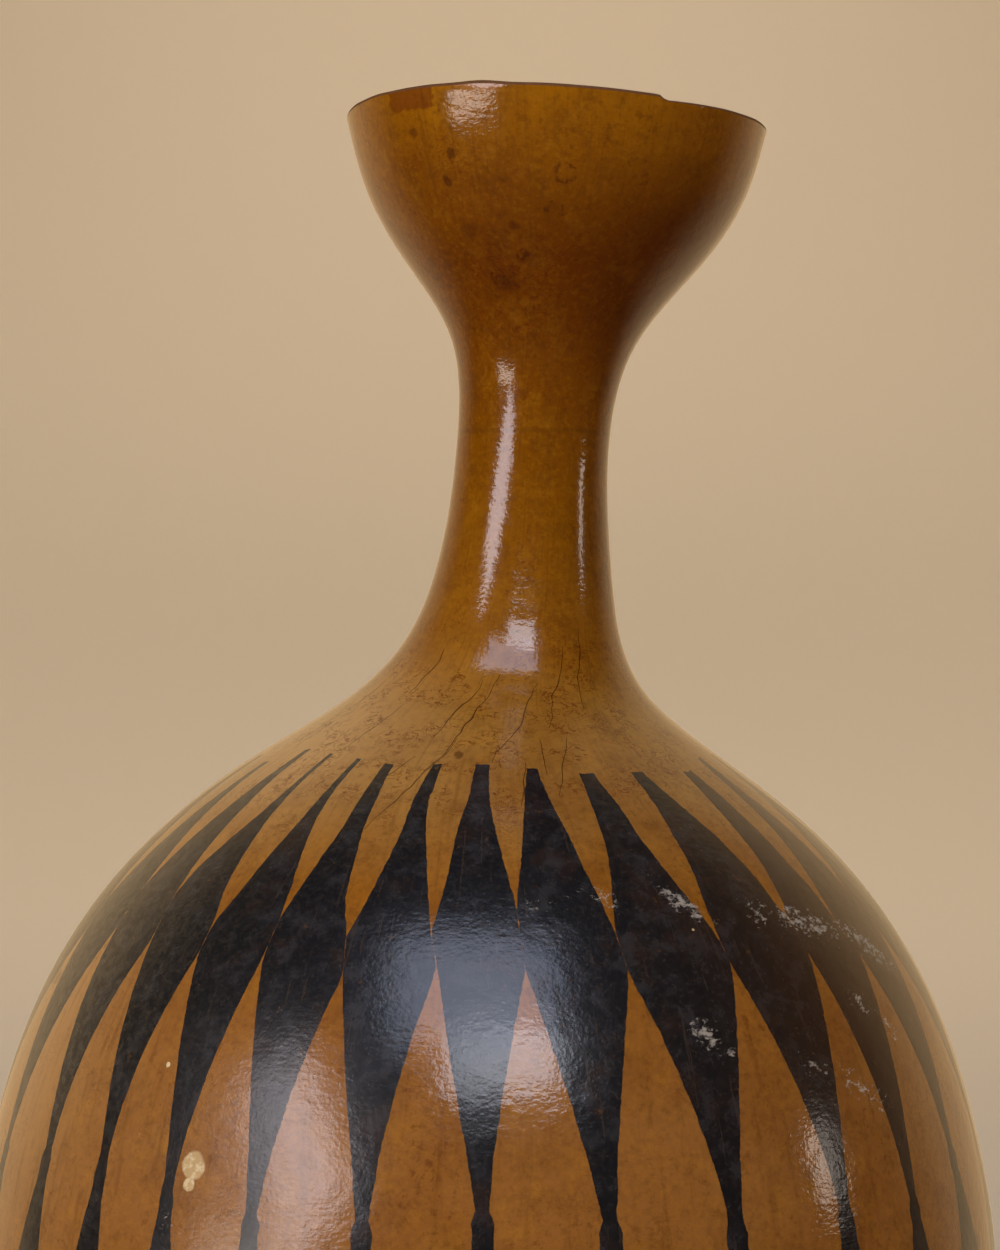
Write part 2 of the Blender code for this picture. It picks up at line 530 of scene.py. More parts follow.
# %% Widths of the lozenges
UPPER_V = (2.0, 2.2, 2.4, 2.6, 2.8, 3.0)
USUAL_UPPER = (0.5, 0.42, 0.34, 0.25, 0.16, 0.10)
LOWER_V = (-4.0, -3.0, -2.6, -2.0, -1.0, -0.75, -0.4, -0.12, -0.03, 0.0, 0.25, 0.5, 0.75, 1.0)
LOWER_HALF = (0.06, 0.07, 0.23, 0.5, 0.5, 0.36, 0.19, 0.085, 0.095, 0.055, 0.12, 0.22, 0.345, 0.5)
# For lozenges 1 to 9: the left side's half-widths, then the right side's, from v = 2.2 to v = 3.
SEEN_UPPER = (
    ((0.46, 0.32, 0.16, 0.08, 0.06), (0.33, 0.22, 0.12, 0.06, 0.06)),
    ((0.36, 0.27, 0.15, 0.10, 0.08), (0.445, 0.32, 0.18, 0.09, 0.06)),
    ((0.40, 0.305, 0.19, 0.175, 0.16), (0.33, 0.26, 0.185, 0.15, 0.08)),
    ((0.375, 0.29, 0.21, 0.20, 0.12), (0.41, 0.30, 0.17, 0.055, 0.05)),
    ((0.42, 0.37, 0.32, 0.17, 0.14), (0.425, 0.345, 0.26, 0.185, 0.17)),
    ((0.445, 0.38, 0.305, 0.21, 0.09), (0.445, 0.355, 0.305, 0.20, 0.12)),
    ((0.43, 0.32, 0.215, 0.14, 0.05), (0.43, 0.345, 0.275, 0.29, 0.20)),
    ((0.435, 0.32, 0.235, 0.12, 0.07), (0.49, 0.425, 0.36, 0.25, 0.13)),
    ((0.37, 0.26, 0.22, 0.17, 0.12), (0.44, 0.31, 0.27, 0.22, 0.12)),
)
WIDTH_WOBBLE = 0.03

half_table = np.empty((LOZENGES, 2, len(UPPER_V)))
for index in range(LOZENGES):
    for side in range(2):
        if 1 <= index <= len(SEEN_UPPER):
            half_table[index, side] = (0.5, *SEEN_UPPER[index - 1][side])
        else:
            wobble = draw.uniform(-WIDTH_WOBBLE, WIDTH_WOBBLE, len(UPPER_V) - 1)
            half_table[index, side] = USUAL_UPPER + np.append(0.0, wobble)
print("tip half-widths", np.round(half_table[:, :, -1].mean(axis=1)[:10], 2))

# %% Half-width at each vertex
lozenge = np.round(pattern_u).astype(int) % LOZENGES
on_right = pattern_u > np.round(pattern_u)
half_share = np.interp(pattern_v, LOWER_V, LOWER_HALF)
for index in range(LOZENGES):
    for side in range(2):
        chosen = (lozenge == index) & (on_right == side) & (pattern_v > 1.0)
        half_share[chosen] = np.interp(pattern_v[chosen], UPPER_V, half_table[index, side])
print("mean half-width", round(float(half_share.mean()), 2), "of the pitch")

# %% [markdown]
# ## Coordinates and masks on the skin
# The pattern's u and v go into a UV map, and longitude and height into a second one. Both run round the
# gourd, so a face that lies across the start of the circle gets its corners unwrapped to the same side.
# Soft things, such as where the paint is scuffed or the skin is stained, are kept as numbers on the
# vertices, and the material turns them into crisp marks with noise.

# %% UV maps
corner_vertex = np.empty(len(rind_mesh.loops), int)
rind_mesh.loops.foreach_get("vertex_index", corner_vertex)
face_start = np.empty(len(rind_mesh.polygons), int)
rind_mesh.polygons.foreach_get("loop_start", face_start)
face_size = np.empty(len(rind_mesh.polygons), int)
rind_mesh.polygons.foreach_get("loop_total", face_size)
first_corner = np.repeat(face_start, face_size)


def add_round_map(name, around, turn, up):
    """A UV map whose first number goes round the gourd, with no face across its seam."""
    corners = around[corner_vertex]
    reference = corners[first_corner]
    corners = corners + turn * np.round((reference - corners) / turn)
    layer = rind_mesh.uv_layers.new(name=name)
    layer.data.foreach_set("uv", np.stack([corners, up[corner_vertex]], axis=1).ravel())


add_round_map("pattern", pattern_u, LOZENGES, pattern_v)
add_round_map("place", longitude, 360.0, height)
print("UV maps", [layer.name for layer in rind_mesh.uv_layers])


# %% Masks on the skin
def soft_spot(angle, up, reach_degrees, reach_mm, lean=0.0):
    """1 in the middle of a spot on the skin, falling off; lean is mm of fall per degree to the right."""
    away = (longitude - angle + 180.0) % 360.0 - 180.0
    drop = height - up + lean * away
    return np.exp(-((away / reach_degrees) ** 2) - (drop / reach_mm) ** 2) * ~is_inside


# Longitude, height, reach in degrees, reach in mm, lean, and strength of the pale scuffs on the paint.
SCUFFS = (
    (7.0, 204.8, 2.4, 3.0, 0.0, 0.6),
    (11.2, 205.8, 2.0, 2.6, 0.0, 0.6),
    (17.0, 206.0, 4.4, 2.6, 0.4, 0.8),
    (29.0, 204.2, 4.6, 3.0, 0.8, 1.05),
    (40.3, 201.0, 2.6, 4.0, 0.8, 0.85),
    (50.0, 198.0, 9.0, 4.0, 0.5, 1.0),
    (62.0, 190.8, 8.0, 4.4, 1.0, 1.0),
    (25.9, 179.6, 2.6, 4.0, 0.8, 1.0),
    (28.2, 176.4, 2.0, 3.0, 0.8, 0.8),
    (52.5, 180.8, 2.8, 3.4, 0.8, 0.85),
    (56.5, 175.3, 2.2, 4.0, 0.8, 0.8),
    (40.0, 170.6, 3.8, 3.2, 0.8, 0.85),
    (47.0, 164.6, 5.5, 4.2, 1.1, 0.85),
    (-33.6, 142.4, 1.6, 3.4, 0.0, 0.8),
    (21.5, 172.2, 1.4, 2.4, 0.0, 0.7),
)
scuff = np.zeros(len(turned))
for angle, up, wide, tall, lean, strength in SCUFFS:
    scuff = np.maximum(scuff, strength * soft_spot(angle, up, wide, tall, lean))

# The patch at the rim is a rectangle: 7 degrees to each side of its middle, and 2.1 mm up and down.
away_from_patch = np.maximum(np.abs(longitude + 43.0) / 7.0, np.abs(height - 379.4) / 2.1)
masks = {
    "half_share": half_share,
    "scuff": scuff,
    # Partly a stain, partly painted shade on the right, away from the lamps.
    "stain_and_painted_shade": np.maximum(
        0.95 * soft_spot(64.0, 346.0, 60.0, 29.0),
        0.45 * soft_spot(70.0, 285.0, 42.0, 40.0),
    ),
    # Partly dust, partly painted sheen and light on the left, where the lamps are.
    "dust_and_painted_sheen": np.maximum(
        0.55 * soft_spot(-55.0, 236.0, 30.0, 15.0),
        0.45 * soft_spot(-70.0, 172.0, 22.0, 56.0),
    ),
    "browned": soft_spot(62.0, 185.0, 22.0, 45.0),
    "hazy": soft_spot(-32.0, 158.0, 20.0, 34.0),
    "rim_patch": np.clip(1.6 - away_from_patch, 0.0, 1.0) * ~is_inside,
    "stained": np.maximum(soft_spot(-12.0, 339.0, 34.0, 13.0), 0.7 * soft_spot(-36.0, 366.0, 16.0, 14.0)),
}
for name, values in masks.items():
    layer = rind_mesh.attributes.new(name, "FLOAT", "POINT")
    layer.data.foreach_set("value", values.astype(np.float32))
print("masks", list(masks))

# %% [markdown]
# ## The oiled rind
# A dried gourd's skin is hard and close-grained like wood, and years of oil and hands have polished it, so
# it gives a fairly sharp gloss over a warm, blotchy brown. The colour starts from a ramp over the height
# and is then broken up by blotches, fine fibres along the growth, freckles and old mould lines. A single
# noise would look like clouds: each layer here has the size of one real thing.

# %% Skin material: coordinates
skin, tree, shader = new_material("oiled_gourd_skin")
point = add_node(tree, "TexCoord", output="Object")
place = add_node(tree, "SeparateXYZ", [add_node(tree, "UVMap", uv_map="place")]).node
pattern = add_node(tree, "SeparateXYZ", [add_node(tree, "UVMap", uv_map="pattern")]).node
turn_angle, up_mm = place.outputs["X"], place.outputs["Y"]
# Each mask, as a value that the material can read.
mask = {name: add_node(tree, "Attribute", output="Fac", attribute_name=name) for name in masks}

# Fibres run up the gourd: their noise lies on a circle round it and is stretched far upwards.
turn = add_node(tree, "Math", [turn_angle], operation="RADIANS")
circle_x = add_node(tree, "Math", [turn], operation="SINE")
circle_y = add_node(tree, "Math", [turn], operation="COSINE")
stretched_up = add_node(tree, "Math", [up_mm, 0.001], operation="MULTIPLY")
fibre_vector = add_node(tree, "CombineXYZ", [circle_x, circle_y, stretched_up])

level_mm = add_node(tree, "VectorMath", [point, (1000.0, 1000.0, 0.0)], operation="MULTIPLY")
radius_mm = add_node(tree, "VectorMath", [level_mm], "Value", operation="LENGTH")
print("skin coordinates ready")

# %% [markdown]
# ## The bare rind's colour
# Its brown changes with height. What darkened or dusted it, and some painted shade and sheen, is mixed
# over that, one layer after another.

# %% Skin material: colour of the bare rind
# Height in mm and colour, from the base to the rim.
HEIGHT_COLOURS = (
    (0.0, "#633a14"),
    (90.0, "#7d4f1f"),
    (165.0, "#855828"),
    (205.0, "#855216"),
    (226.0, "#936931"),
    (242.0, "#8f6425"),
    (256.0, "#825210"),
    (290.0, "#764701"),
    (326.0, "#6b3b02"),
    (345.0, "#633302"),
    (383.0, "#8b5805"),
)
RAMP_TOP = 400.0
# Blotches, wide to fine: size in mm, detail, noise where one starts and where it is full, share, colour.
BLOTCHES = (
    (34.0, 3.0, 0.40, 0.70, 0.45, "#6a3c0e"),
    (9.0, 4.0, 0.48, 0.72, 0.32, "#4e2a0b"),
    (7.0, 4.0, 0.50, 0.72, 0.18, "#a87418"),
    (1.7, 3.0, 0.47, 0.68, 0.22, "#3f2108"),
    (1.3, 3.0, 0.52, 0.34, 0.12, "#a87618"),
)
# Two noises serve several marks each, as every noise costs render time: a wide one and a fine one.
wide_noise = add_node(tree, "TexNoise", {"Vector": point, "Scale": per_mm(22.0), "Detail": 3.0})
fine_noise = {"Vector": point, "Scale": per_mm(2.2), "Detail": 3.0, "Roughness": 0.7}
fine_noise = add_node(tree, "TexNoise", fine_noise)
drift = add_node(tree, "Math", [wide_noise, 14.0, -7.0], operation="MULTIPLY_ADD")
height_share = add_node(tree, "Math", [up_mm, drift], operation="ADD")
height_share = add_node(tree, "Math", [height_share, RAMP_TOP], operation="DIVIDE")
height_stops = [(at / RAMP_TOP, tone) for at, tone in HEIGHT_COLOURS]
bare = add_node(tree, "ValToRGB", [height_share], stops=height_stops)
for size, detail, start, full, share, tone in BLOTCHES:
    blotch = {"Vector": point, "Scale": per_mm(size), "Detail": detail, "Roughness": 0.65}
    blotch = add_node(tree, "TexNoise", blotch)
    blotch = add_node(tree, "MapRange", [blotch, start, full, 0.0, share], **SMOOTH)
    bare = add_node(tree, "Mix", {0: blotch, 6: bare, 7: linear(tone)}, **COLOUR_MIX)

# The bowl's right side, and the neck's right side below it, are darker with a soft edge: partly a broad
# stain, partly painted shade on the side away from the lamps.
uneven = add_node(tree, "MapRange", [wide_noise, 0.25, 0.7, 0.6, 1.0])
stain_and_painted_shade = add_node(tree, "Math", [mask["stain_and_painted_shade"], uneven], operation="MULTIPLY")
bare = add_node(tree, "Mix", {0: stain_and_painted_shade, 6: bare, 7: linear("#3c1301")}, **COLOUR_MIX)

# The left of the shoulder and the left flank are paler and greyer: partly dust in the grain, partly
# painted sheen and light on the side the lamps come from.
bare = add_node(tree, "Mix", {0: mask["dust_and_painted_sheen"], 6: bare, 7: linear("#b8915c")}, **COLOUR_MIX)

fibres = {"Vector": fibre_vector, "Scale": 48.0, "Detail": 3.0, "Roughness": 0.6}
fibres = add_node(tree, "TexNoise", fibres)
fibres = add_node(tree, "MapRange", [fibres, 0.5, 0.75, 0.0, 0.32], **SMOOTH)
bare = add_node(tree, "Mix", {0: fibres, 6: bare, 7: linear("#4f2c0c")}, **COLOUR_MIX)
print("bare rind:", len(tree.nodes), "nodes so far")

# %% [markdown]
# ## Freckles and crazing
# These are fine marks with no known place, so each is noise of the right size. Freckles are the peaks of a
# noise, and crazing is its contour line. A picture of them would be blurred so near the camera.

# %% Skin material: freckles and crazing
# Freckles a millimetre or two across, gathered in patches and thickest where the skin is stained.
patchy = add_node(tree, "MapRange", [wide_noise, 0.44, 0.64, 0.12, 0.8], **SMOOTH)
patchy = add_node(tree, "Math", [patchy, mask["stained"]], operation="MAXIMUM")
freckles = add_node(tree, "MapRange", [fine_noise, 0.56, 0.66, 0.0, 0.45], **SMOOTH)
freckles = add_node(tree, "Math", [freckles, patchy], operation="MULTIPLY")
bare = add_node(tree, "Mix", {0: freckles, 6: bare, 7: linear("#441c08")}, **COLOUR_MIX)

# Crazing: thin, wandering, broken lines a few millimetres long that lie across the fibres.
# They are the middle value of a noise, as a contour line is on a map.
across_grain = add_node(tree, "VectorMath", [point, (1.0, 1.0, 2.1)], operation="MULTIPLY")
craze = {"Vector": across_grain, "Scale": per_mm(3.4), "Detail": 3.0, "Roughness": 0.6, "Distortion": 0.9}
craze = add_node(tree, "TexNoise", craze)
craze = add_node(tree, "Math", [craze, 0.5], operation="SUBTRACT")
craze = add_node(tree, "Math", [craze], operation="ABSOLUTE")
craze = add_node(tree, "MapRange", [craze, 0.008, 0.034, 0.7, 0.0], **SMOOTH)
above_paint = add_node(tree, "MapRange", [up_mm, 206.0, 230.0], **SMOOTH)
below_neck = add_node(tree, "MapRange", [up_mm, 250.0, 276.0, 1.0, 0.0], **SMOOTH)
on_shoulder = add_node(tree, "Math", [above_paint, below_neck], operation="MULTIPLY")
crazed = add_node(tree, "Math", [on_shoulder, mask["stained"]], operation="MAXIMUM")
crazed = add_node(tree, "Math", [crazed, 0.3], operation="MAXIMUM")
craze_patch = add_node(tree, "TexNoise", {"Vector": point, "Scale": per_mm(7.6), "Detail": 3.0})
craze_patch = add_node(tree, "MapRange", [craze_patch, 0.42, 0.6], **SMOOTH)
crazed = add_node(tree, "Math", [crazed, craze_patch], operation="MULTIPLY")
craze = add_node(tree, "Math", [craze, crazed], operation="MULTIPLY")
bare = add_node(tree, "Mix", {0: craze, 6: bare, 7: linear("#551f07")}, **COLOUR_MIX)
print("freckled rind:", len(tree.nodes), "nodes so far")

# %% [markdown]
# ## Spots, mould rings and splashes of limewash
# Some marks have a known place: dark spots, the rings that patches of mould left, a red-brown patch at
# the rim and a few splashes of limewash. All but the patch are small balls of space round a point on the
# skin, and the colour changes where the surface passes through one, so a mark can't stretch or slide.


# %% Placed marks
def on_skin(angle, up):
    """The point of the grown skin at a longitude in degrees and a height in mm, in metres."""
    reach_here = skin_radius(up)
    turned_x = reach_here * math.sin(math.radians(angle))
    turned_y = -reach_here * math.cos(math.radians(angle))
    return tuple(float(c) * MM for c in grow_crooked(turned_x, turned_y, np.float64(up)))


ragged_noise = {"Vector": point, "Scale": per_mm(2.6), "Detail": 3.0, "Roughness": 0.6}
ragged_noise = add_node(tree, "TexNoise", ragged_noise)
ragged_noise = add_node(tree, "Math", [ragged_noise, 0.5], operation="SUBTRACT")


def away_mm(angle, up, ragged):
    """How far the surface is from a point on the skin, in mm, with a ragged edge."""
    far = add_node(tree, "VectorMath", [point, on_skin(angle, up)], "Value", operation="DISTANCE")
    far = add_node(tree, "Math", [far, 1000.0], operation="MULTIPLY")
    return add_node(tree, "Math", [ragged_noise, ragged, far], operation="MULTIPLY_ADD")


# Longitude, height, radius in mm, strength.
DARK_SPOTS = (
    (-20.2, 340.2, 3.6, 0.5),
    (-31.5, 367.3, 2.0, 0.6),
    (-34.8, 361.7, 1.6, 0.6),
    (-16.8, 361.3, 1.6, 0.5),
    (-43.5, 371.8, 1.5, 0.5),
    (12.8, 372.2, 1.8, 0.4),
    (-19.0, 354.5, 2.2, 0.45),
    (-31.0, 351.0, 2.4, 0.4),
    (-2.0, 355.0, 2.6, 0.35),
    (-14.5, 352.0, 1.5, 0.5),
    (-25.5, 345.5, 2.0, 0.4),
    (-7.3, 234.4, 2.0, 0.65),
    (36.3, 255.2, 1.0, 0.5),
    (66.0, 125.9, 3.0, 0.8),
    (-74.0, 182.4, 4.0, 0.6),
)
for angle, up, size, strength in DARK_SPOTS:
    spot = [away_mm(angle, up, size * 3.6), size * 0.3, size, strength, 0.0]
    spot = add_node(tree, "MapRange", spot, **SMOOTH)
    bare = add_node(tree, "Mix", {0: spot, 6: bare, 7: linear("#3a1709")}, **COLOUR_MIX)

# Longitude, height and radius in mm of the rings that mould left.
RINGS = ((2.0, 363.1, 2.3), (-1.0, 355.4, 2.0), (-24.0, 341.5, 1.7), (-12.0, 346.0, 1.4))
broken = add_node(tree, "MapRange", [fine_noise, 0.4, 0.56], **SMOOTH)
for angle, up, size in RINGS:
    ring = add_node(tree, "Math", [away_mm(angle, up, 3.4), size], operation="SUBTRACT")
    ring = add_node(tree, "Math", [ring], operation="ABSOLUTE")
    ring = add_node(tree, "MapRange", [ring, 0.1, 0.7, 0.55, 0.0], **SMOOTH)
    ring = add_node(tree, "Math", [ring, broken], operation="MULTIPLY")
    bare = add_node(tree, "Mix", {0: ring, 6: bare, 7: linear("#3a1709")}, **COLOUR_MIX)

patch = add_node(tree, "Math", [ragged_noise, 0.6, mask["rim_patch"]], operation="MULTIPLY_ADD")
patch = add_node(tree, "MapRange", [patch, 0.42, 0.56, 0.0, 0.6], **SMOOTH)
bare = add_node(tree, "Mix", {0: patch, 6: bare, 7: linear("#5a240b")}, **COLOUR_MIX)

# Longitude, height and radius in mm of the splashes of limewash.
DABS = ((-31.0, 153.6, 3.1), (-31.2, 150.0, 1.5), (-37.5, 171.9, 0.5), (28.8, 199.2, 0.3))
dab = 0.0
for angle, up, size in DABS:
    one_dab = [away_mm(angle, up, 1.1), size * 0.8, size, 1.0, 0.0]
    one_dab = add_node(tree, "MapRange", one_dab, **SMOOTH)
    dab = add_node(tree, "Math", [dab, one_dab], operation="MAXIMUM")
print("placed marks:", len(DARK_SPOTS) + len(RINGS) + len(DABS) + 1)

# %% [markdown]
# ## A growth line and cracks
# Drying split the shoulder in hair-thin, wandering cracks that start at the neck and run down and round.
# Each is given by the two places it runs between. Its distance is worked out in mm from how far the
# longitude is off the line, and a shared wobble keeps any of them from being straight.

# %% Growth line and cracks
# Longitude and height of the upper end, the same of the lower end, and the width in mm.
CRACKS = (
    (-9.5, 250.0, -15.8, 237.2, 0.20),
    (-2.5, 251.5, -14.0, 230.2, 0.22),
    (-9.2, 237.8, -20.8, 218.6, 0.20),
    (-36.5, 257.0, -37.0, 246.5, 0.16),
    (-36.5, 244.5, -41.0, 234.0, 0.18),
    (-17.5, 233.8, -26.0, 225.6, 0.18),
    (27.5, 258.0, 17.6, 239.0, 0.16),
    (38.0, 262.0, 31.0, 243.0, 0.16),
    (15.0, 249.5, 1.0, 232.0, 0.20),
    (23.0, 237.6, 14.8, 225.5, 0.16),
    (14.6, 237.2, 13.0, 229.6, 0.14),
    (8.9, 232.6, 7.4, 223.6, 0.16),
    (96.0, 250.0, 84.0, 226.0, 0.20),
    (141.0, 255.0, 150.0, 231.0, 0.18),
    (188.0, 248.0, 178.0, 222.0, 0.22),
    (232.0, 246.0, 240.0, 229.0, 0.16),
    (300.0, 252.0, 291.0, 228.0, 0.20),
)
wobble = add_node(tree, "TexNoise", {"Vector": point, "Scale": per_mm(12.0), "Detail": 2.0})
wobble = add_node(tree, "Math", [wobble, 4.6, -2.3], operation="MULTIPLY_ADD")
degree_mm = add_node(tree, "Math", [radius_mm, math.pi / 180.0], operation="MULTIPLY")

# A faint line rings the neck where its growth once paused, at this height in mm.
GROWTH_LINE = 307.8
pause = add_node(tree, "Math", [wobble, 0.4, up_mm], operation="MULTIPLY_ADD")
pause = add_node(tree, "Math", [pause, GROWTH_LINE], operation="SUBTRACT")
pause = add_node(tree, "Math", [pause], operation="ABSOLUTE")
pause = add_node(tree, "MapRange", [pause, 0.2, 0.9, 0.3, 0.0], **SMOOTH)
bare = add_node(tree, "Mix", {0: pause, 6: bare, 7: linear("#4a2a08")}, **COLOUR_MIX)

crack_gap = 1.0
for top_angle, top, end_angle, end, width in CRACKS:
    run = add_node(tree, "MapRange", [up_mm, top, end])
    off = add_node(tree, "Math", [run, end_angle - top_angle, top_angle], operation="MULTIPLY_ADD")
    off = add_node(tree, "Math", [turn_angle, off], operation="SUBTRACT")
    off = add_node(tree, "Math", [off, 180.0, -180.0], operation="WRAP")
    off = add_node(tree, "Math", [off, degree_mm, wobble], operation="MULTIPLY_ADD")
    off = add_node(tree, "Math", [off], operation="ABSOLUTE")
    taper = add_node(tree, "Math", [run, 0.5], operation="PINGPONG")
    beyond_end = add_node(tree, "Math", [taper, 0.02], operation="LESS_THAN")
    off = add_node(tree, "Math", [off, beyond_end], operation="ADD")
    off = add_node(tree, "Math", [taper, -width, off], operation="MULTIPLY_ADD")
    crack_gap = add_node(tree, "Math", [crack_gap, off], operation="MINIMUM")
crack = add_node(tree, "MapRange", [crack_gap, 0.0, 0.14, 0.8, 0.0], **SMOOTH)
bare = add_node(tree, "Mix", {0: crack, 6: bare, 7: linear("#2f1408")}, **COLOUR_MIX)
print("cracks:", len(CRACKS))

# %% [markdown]
# ## The black paint
# The pattern is a thin, dull-black lacquer laid on by hand. Its edge is crisp but not straight at the
# scale of a millimetre, it has worn brown where hands rubbed it, and something pale has scraped it. The
# paint is everything nearer to a lozenge's middle line than its half-width, cut off at the blunt tips.

# %% Paint
across, rows = pattern.outputs["X"], pattern.outputs["Y"]
off_middle = add_node(tree, "Math", [across], operation="ROUND")
off_middle = add_node(tree, "Math", [across, off_middle], operation="SUBTRACT")
off_middle = add_node(tree, "Math", [off_middle], operation="ABSOLUTE")
pitch_mm = add_node(tree, "Math", [radius_mm, math.tau / LOZENGES], operation="MULTIPLY")
side_edge = add_node(tree, "Math", [mask["half_share"], off_middle], operation="SUBTRACT")
side_edge = add_node(tree, "Math", [side_edge, pitch_mm], operation="MULTIPLY")
tip_edge = add_node(tree, "Math", [rows], operation="ABSOLUTE")
tip_edge = add_node(tree, "Math", [tip_edge, -40.0, 120.0], operation="MULTIPLY_ADD")
edge = add_node(tree, "Math", [side_edge, tip_edge], operation="MINIMUM")
edge = add_node(tree, "Math", [ragged_noise, 0.7, edge], operation="MULTIPLY_ADD")
paint = add_node(tree, "MapRange", [edge, -0.1, 0.1], **SMOOTH)

# Wear on the black, as for the blotches: size in mm, detail, noise at start and at full, share, colour.
PAINT_WEAR = (
    (13.0, 4.0, 0.50, 0.68, 0.55, "#2e2019"),
    (5.2, 3.0, 0.45, 0.70, 0.60, "#2e2d2f"),
    (1.1, 3.0, 0.46, 0.70, 0.25, "#3d3630"),
)
paint_colour = linear("#131315")
for size, detail, start, full, share, tone in PAINT_WEAR:
    wear = {"Vector": point, "Scale": per_mm(size), "Detail": detail, "Roughness": 0.65}
    wear = add_node(tree, "TexNoise", wear)
    wear = add_node(tree, "MapRange", [wear, start, full, 0.0, share], **SMOOTH)
    paint_colour = add_node(tree, "Mix", {0: wear, 6: paint_colour, 7: linear(tone)}, **COLOUR_MIX)
scratches = add_node(tree, "TexNoise", {"Vector": fibre_vector, "Scale": 80.0, "Detail": 2.0})
scratches = add_node(tree, "MapRange", [scratches, 0.62, 0.72, 0.0, 0.22], **SMOOTH)
scratched = {0: scratches, 6: paint_colour, 7: linear("#4a3c30")}
paint_colour = add_node(tree, "Mix", scratched, **COLOUR_MIX)
browned = add_node(tree, "Math", [mask["browned"], 0.85], operation="MULTIPLY")
paint_colour = add_node(tree, "Mix", {0: browned, 6: paint_colour, 7: linear("#472d15")}, **COLOUR_MIX)
# The same mask greys the black paint on the left flank: partly dust, partly painted sheen.
dust_and_sheen_breakup = add_node(tree, "MapRange", [fine_noise, 0.4, 0.62, 0.25, 1.0], **SMOOTH)
greyed = add_node(tree, "Math", [mask["dust_and_painted_sheen"], dust_and_sheen_breakup], operation="MULTIPLY")
paint_colour = add_node(tree, "Mix", {0: greyed, 6: paint_colour, 7: linear("#655c48")}, **COLOUR_MIX)
handled = {"Vector": point, "Scale": per_mm(3.0), "Detail": 4.0, "Roughness": 0.7}
handled = add_node(tree, "TexNoise", handled)
thin = add_node(tree, "MapRange", [handled, 0.25, 0.36, 0.7, 1.0], **SMOOTH)
thin = add_node(tree, "Math", [thin, paint], operation="MULTIPLY")
colour = add_node(tree, "Mix", {0: thin, 6: bare, 7: paint_colour}, **COLOUR_MIX)
print("painted rind:", len(tree.nodes), "nodes so far")

# %% Scuffs and limewash
# The scuffs are streaky: their noise is stretched round the gourd.
streaky = add_node(tree, "VectorMath", [point, (1.0, 1.0, 1.7)], operation="MULTIPLY")
scrape = {"Vector": streaky, "Scale": per_mm(2.1), "Detail": 4.0, "Roughness": 0.75}
scrape = add_node(tree, "TexNoise", scrape)
scrape = add_node(tree, "Math", [mask["scuff"], 0.34, scrape], operation="MULTIPLY_ADD")
scrape = add_node(tree, "MapRange", [scrape, 0.74, 0.9], **SMOOTH)
scuffed = add_node(tree, "MapRange", [mask["scuff"], 0.08, 0.25, 0.0, 0.8])
scraped = add_node(tree, "Math", [scrape, scuffed], operation="MULTIPLY")
colour = add_node(tree, "Mix", {0: scraped, 6: colour, 7: linear("#a39a8c")}, **COLOUR_MIX)
lime = add_node(tree, "Mix", {0: broken, 6: linear("#c2ae84"), 7: linear("#a88c5c")}, **COLOUR_MIX)
colour = add_node(tree, "Mix", {0: dab, 6: colour, 7: lime}, **COLOUR_MIX)
print("skin material has", len(tree.nodes), "nodes")

# %% [markdown]
# ## Gloss and relief
# Oil, wax and hands have polished the hard skin, so its highlights are small, bright and sharp. Faint
# relief of a few hundredths of a millimetre frays their edges and crackles them, as old wax does.
# Without the relief the gourd would look like glazed pottery.

# %% Gloss and relief
# Relief, as a share of a tenth of a millimetre: size in mm, how much wider than high, detail, depth.
RELIEF = ((0.8, 1.0, 1.0, 0.55), (2.4, 2.4, 2.0, 0.7), (4.5, 1.0, 1.0, 1.2))
relief = 0.0
for size, wider, detail, depth in RELIEF:
    squeezed = add_node(tree, "VectorMath", [point, (1.0, 1.0, wider)], operation="MULTIPLY")
    bumps = add_node(tree, "TexNoise", {"Vector": squeezed, "Scale": per_mm(size), "Detail": detail})
    relief = add_node(tree, "Math", [bumps, depth, relief], operation="MULTIPLY_ADD")
bumped = add_node(tree, "Bump", {"Strength": 0.6, "Distance": 0.0001, "Height": relief})
dull = add_node(tree, "Math", [dab, scraped], operation="MAXIMUM")
roughness = add_node(tree, "Math", [handled, 0.12, 0.07], operation="MULTIPLY_ADD")
roughness = add_node(tree, "Math", [mask["hazy"], 0.14, roughness], operation="MULTIPLY_ADD")
roughness = add_node(tree, "Math", [paint, 0.07, roughness], operation="MULTIPLY_ADD")
roughness = add_node(tree, "Math", [dull, 0.35, roughness], operation="MULTIPLY_ADD")
tree.links.new(colour, shader.inputs["Base Color"])
tree.links.new(roughness, shader.inputs["Roughness"])
tree.links.new(bumped, shader.inputs["Normal"])
shader.inputs["IOR"].default_value = 1.5
print("skin finished with", len(tree.nodes), "nodes")

# %% [markdown]
# ## The cut rim and the inside
# The cut shows the rind's edge: a dark hard skin line outside and corky flesh within. Inside, scraped
# pith has dried to a dull, fibrous brown, darker towards the bottom.

# %% Cut rim
cut, tree, shader = new_material("cut_gourd_rind")
point = add_node(tree, "TexCoord", output="Object")
cork = {"Vector": point, "Scale": per_mm(1.2), "Detail": 4.0, "Roughness": 0.7}
cork = add_node(tree, "TexNoise", cork)
cork = add_node(tree, "Mix", {0: cork, 6: linear("#6e4722"), 7: linear("#452911")}, **COLOUR_MIX)
tree.links.new(cork, shader.inputs["Base Color"])
shader.inputs["Roughness"].default_value = 0.7
shader.inputs["Specular IOR Level"].default_value = 0.2
grain = add_node(tree, "TexNoise", {"Vector": point, "Scale": per_mm(0.9), "Detail": 3.0})
grain = add_node(tree, "Bump", {"Strength": 0.7, "Distance": 0.0002, "Height": grain})
tree.links.new(grain, shader.inputs["Normal"])
print("cut rim has", len(tree.nodes), "nodes")

